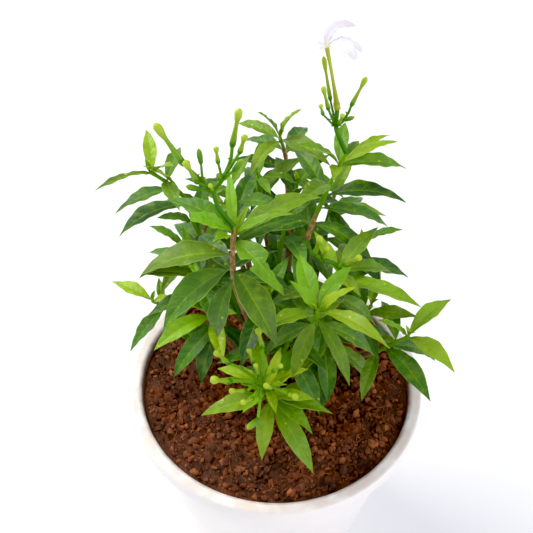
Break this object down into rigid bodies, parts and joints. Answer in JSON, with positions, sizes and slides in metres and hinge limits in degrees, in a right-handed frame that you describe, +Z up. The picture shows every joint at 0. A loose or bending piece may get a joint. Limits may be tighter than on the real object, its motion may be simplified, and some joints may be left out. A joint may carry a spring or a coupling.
{
  "type": "potted tabernaemontana corymbosa",
  "caption": "Flowering house plant in a round tapered pot: glossy opposite leaves, slender bud clusters and a pinwheel flower above coir growing mix.",
  "frame": {"origin": "centre of the pot's flat underside, on the floor that it stands on", "axes": "+Z up through the middle of the pot, -Y towards the side that the picture shows, +X to that side's right"},
  "size_m": [0.2208, 0.237, 0.4061],
  "materials": {
    "pot": "smooth white moulded plastic, softly glossy",
    "coir": "matt brown coir growing mix with orange and dark crumbs",
    "bark": "matt grey-brown bark with tan leaf scars",
    "leaves": "glossy leaf, yellow-green when young and dark green when old",
    "buds": "satin yellow-green bud and stalk",
    "petals": "soft white petal"
  },
  "bodies": {
    "root": {"pot": "pot", "soil": "coir", "woody_stems": "bark", "buds_front_left": "buds", "buds_flowering": "buds", "buds_right": "buds", "buds_low_front": "buds", "flower": "petals", "shoot_front_left": "leaves", "shoot_flowering": "leaves", "shoot_star": "leaves", "shoot_back_left": "leaves", "shoot_back": "leaves", "shoot_right": "leaves", "shoot_far_right": "leaves", "shoot_low_front": "leaves", "shoot_low_left": "leaves", "shoot_far_left": "leaves", "shoot_low_right": "leaves", "shoot_inner_high": "leaves", "shoot_inner_front": "leaves", "shoot_inner_low": "leaves", "shoot_mid_left": "leaves", "shoot_mid_high": "leaves", "shoot_mid_back": "leaves", "shoot_crown": "leaves", "shoot_mid_right": "leaves", "shoot_rear_left": "leaves", "shoot_rear_right": "leaves", "shoot_rear_low": "leaves", "shoot_side_left": "leaves", "shoot_left": "leaves", "shoot_side_right": "leaves"}
  },
  "joints": []
}
